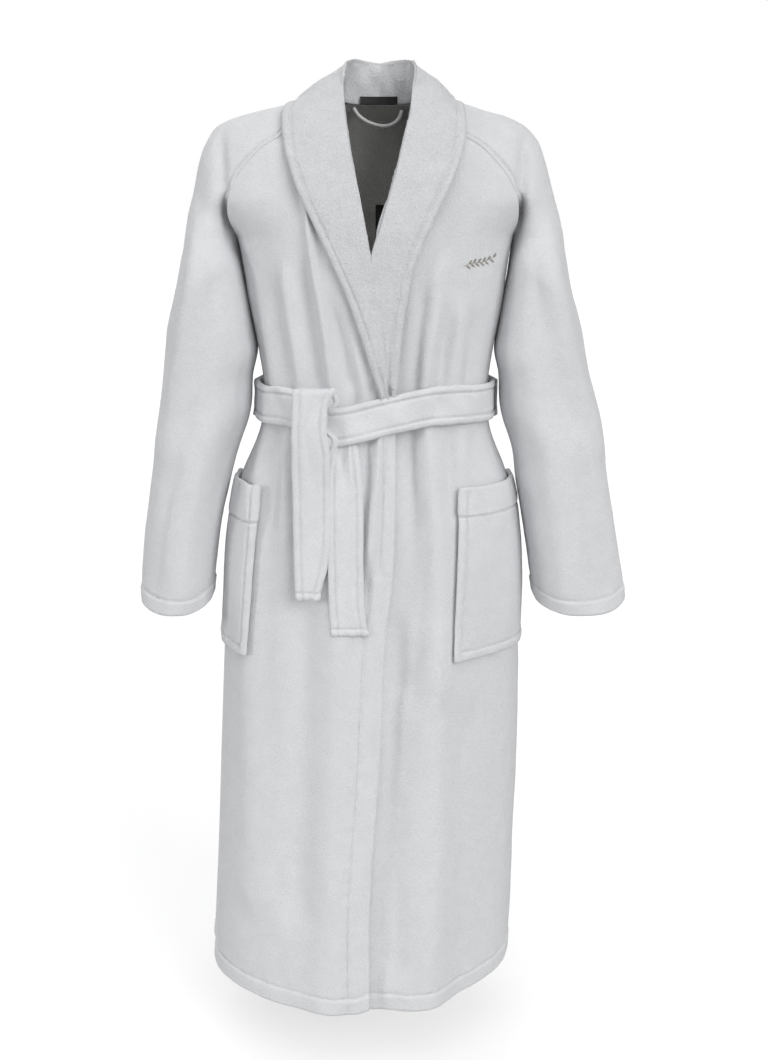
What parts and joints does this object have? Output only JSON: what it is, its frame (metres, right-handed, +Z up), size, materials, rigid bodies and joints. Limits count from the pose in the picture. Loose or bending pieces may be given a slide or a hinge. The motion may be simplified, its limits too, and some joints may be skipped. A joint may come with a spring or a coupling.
{
  "type": "bathrobe",
  "caption": "Calf-length towelling bathrobe with a shawl collar, raglan sleeves, patch pockets and a tied waist belt, worn shape, hanging from the shoulders.",
  "frame": {"origin": "base of the neck, midway between the shoulder seams, where the robe rests on its wearer or a hanger", "axes": "+Z up along the robe, -Y towards the front, +X towards the wearer's left"},
  "size_m": [0.647, 0.3329, 1.2384],
  "materials": {
    "towelling": "white sheared towelling, soft pile",
    "collar_pile": "white looped towelling, slightly coarser pile",
    "belt_towelling": "white doubled towelling, stitched along both edges",
    "cord": "white twisted cotton",
    "label": "black woven satin, blank",
    "thread": "grey-beige embroidery thread"
  },
  "bodies": {
    "robe": {"back_panel": "towelling", "right_front_panel": "towelling", "right_front_band": "towelling", "left_front_panel": "towelling", "left_front_band": "towelling", "right_sleeve_head": "towelling", "left_sleeve_head": "towelling", "right_collar": "collar_pile", "left_collar": "collar_pile", "right_pocket": "towelling", "left_pocket": "towelling", "belt_waistband": "belt_towelling", "belt_knot": "belt_towelling", "right_belt_loop": "cord", "left_belt_loop": "cord", "neck_label": "label", "back_label": "label", "chest_motif": "thread"},
    "right_sleeve_body": {"right_sleeve": "towelling"},
    "left_sleeve_body": {"left_sleeve": "towelling"},
    "front_corner": {"right_front_flap": "towelling", "right_flap_band": "towelling"},
    "over_tail": {"right_belt_tail": "belt_towelling"},
    "under_tail": {"left_belt_tail": "belt_towelling"},
    "neck_loop": {"hanging_loop": "cord"}
  },
  "joints": [
    {"name": "right_sleeve_raise", "type": "hinge", "parent": "robe", "child": "right_sleeve_body", "pos_m": [-0.196, 0, -0.06], "axis": [0, 1, 0], "range_deg": [0, 32]},
    {"name": "left_sleeve_raise", "type": "hinge", "parent": "robe", "child": "left_sleeve_body", "pos_m": [0.196, 0, -0.06], "axis": [0, -1, 0], "range_deg": [0, 32]},
    {"name": "front_corner_open", "type": "hinge", "parent": "robe", "child": "front_corner", "pos_m": [-0.012, -0.1565, -0.66], "axis": [-0.2633, -0.012, -0.9646], "range_deg": [0, 38]},
    {"name": "over_tail_swing", "type": "hinge", "parent": "robe", "child": "over_tail", "pos_m": [-0.078, -0.1335, -0.346], "axis": [-1, 0, 0], "range_deg": [0, 45]},
    {"name": "under_tail_swing", "type": "hinge", "parent": "robe", "child": "under_tail", "pos_m": [-0.0335, -0.13, -0.421], "axis": [-1, 0, 0], "range_deg": [0, 45]},
    {"name": "neck_loop_flip", "type": "hinge", "parent": "robe", "child": "neck_loop", "pos_m": [0.005, 0.064, -0.0045], "axis": [-1, 0, 0], "range_deg": [0, 110]}
  ]
}
